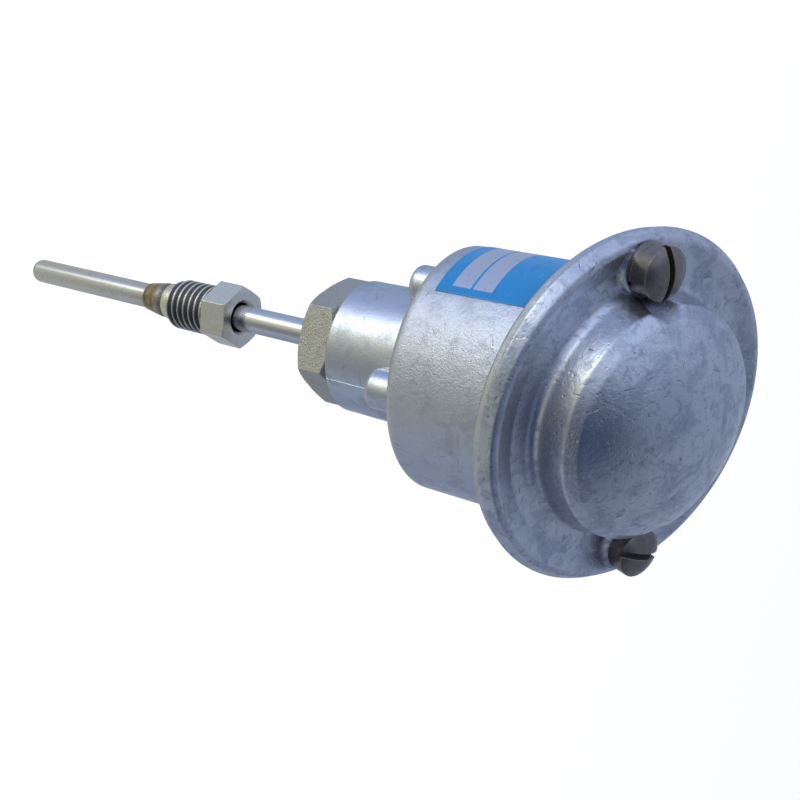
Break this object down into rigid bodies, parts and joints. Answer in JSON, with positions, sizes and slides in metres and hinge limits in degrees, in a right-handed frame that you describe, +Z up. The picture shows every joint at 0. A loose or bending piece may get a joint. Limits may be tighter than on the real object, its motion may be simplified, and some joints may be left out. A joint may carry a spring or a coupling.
{
  "type": "rtd probe with head",
  "caption": "Resistance thermometer probe: steel sheath with sealing cone and loose pressure screw, hexagon adapter, and die-cast connection head with inclined domed cap.",
  "frame": {"origin": "on the probe axis, in the underside of the pressure screw's hexagon, where it seats on the process", "axes": "+Z up the probe axis from the tip to the head, +X towards the cable entry under the high side of the cap"},
  "size_m": [0.0865, 0.0692, 0.1858],
  "materials": {
    "cast": "sand-cast grain, bare",
    "cap_cast": "die-cast skin, stained",
    "steel": "polished",
    "tinted_steel": "heat-tinted",
    "screw_steel": "turned",
    "dark_steel": "dark nickel",
    "nickel_brass": "nickel plated, worn",
    "foil": "printed foil",
    "rubber": "matt",
    "fibre": "matt",
    "ceramic": "glazed",
    "mineral": "powder",
    "brass": "bright",
    "resin": "matt",
    "lead_red": "silicone",
    "lead_white": "silicone"
  },
  "bodies": {
    "probe": {"head_body": "cast", "cap": "cap_cast", "cap_gasket": "rubber", "cap_screw_a": "dark_steel", "cap_screw_b": "dark_steel", "cap_washer": "dark_steel", "label": "foil", "neck_adapter": "nickel_brass", "neck_seal": "fibre", "sheath_tube": "steel", "sealing_cone": "tinted_steel", "sensing_element": "ceramic", "mineral_fill": "mineral", "end_seal": "resin", "insert_plate": "steel", "terminal_block": "ceramic", "terminal_1": "brass", "terminal_2": "brass", "terminal_3": "brass", "terminal_4": "brass", "terminal_screw_1": "nickel_brass", "terminal_screw_2": "nickel_brass", "terminal_screw_3": "nickel_brass", "terminal_screw_4": "nickel_brass", "lead_1": "lead_red", "lead_2": "lead_red", "lead_3": "lead_white", "lead_4": "lead_white", "block_screw_a": "steel", "block_screw_b": "steel", "block_spring_a": "steel", "block_spring_b": "steel", "gland_ring": "rubber", "gland_body": "nickel_brass", "gland_grip": "rubber", "gland_nut": "nickel_brass"},
    "screw": {"pressure_screw": "screw_steel"}
  },
  "joints": [
    {"name": "pressure_screw_slide", "type": "slide", "parent": "probe", "child": "screw", "axis": [0, 0, 1], "range_m": [0, 0.026]}
  ]
}
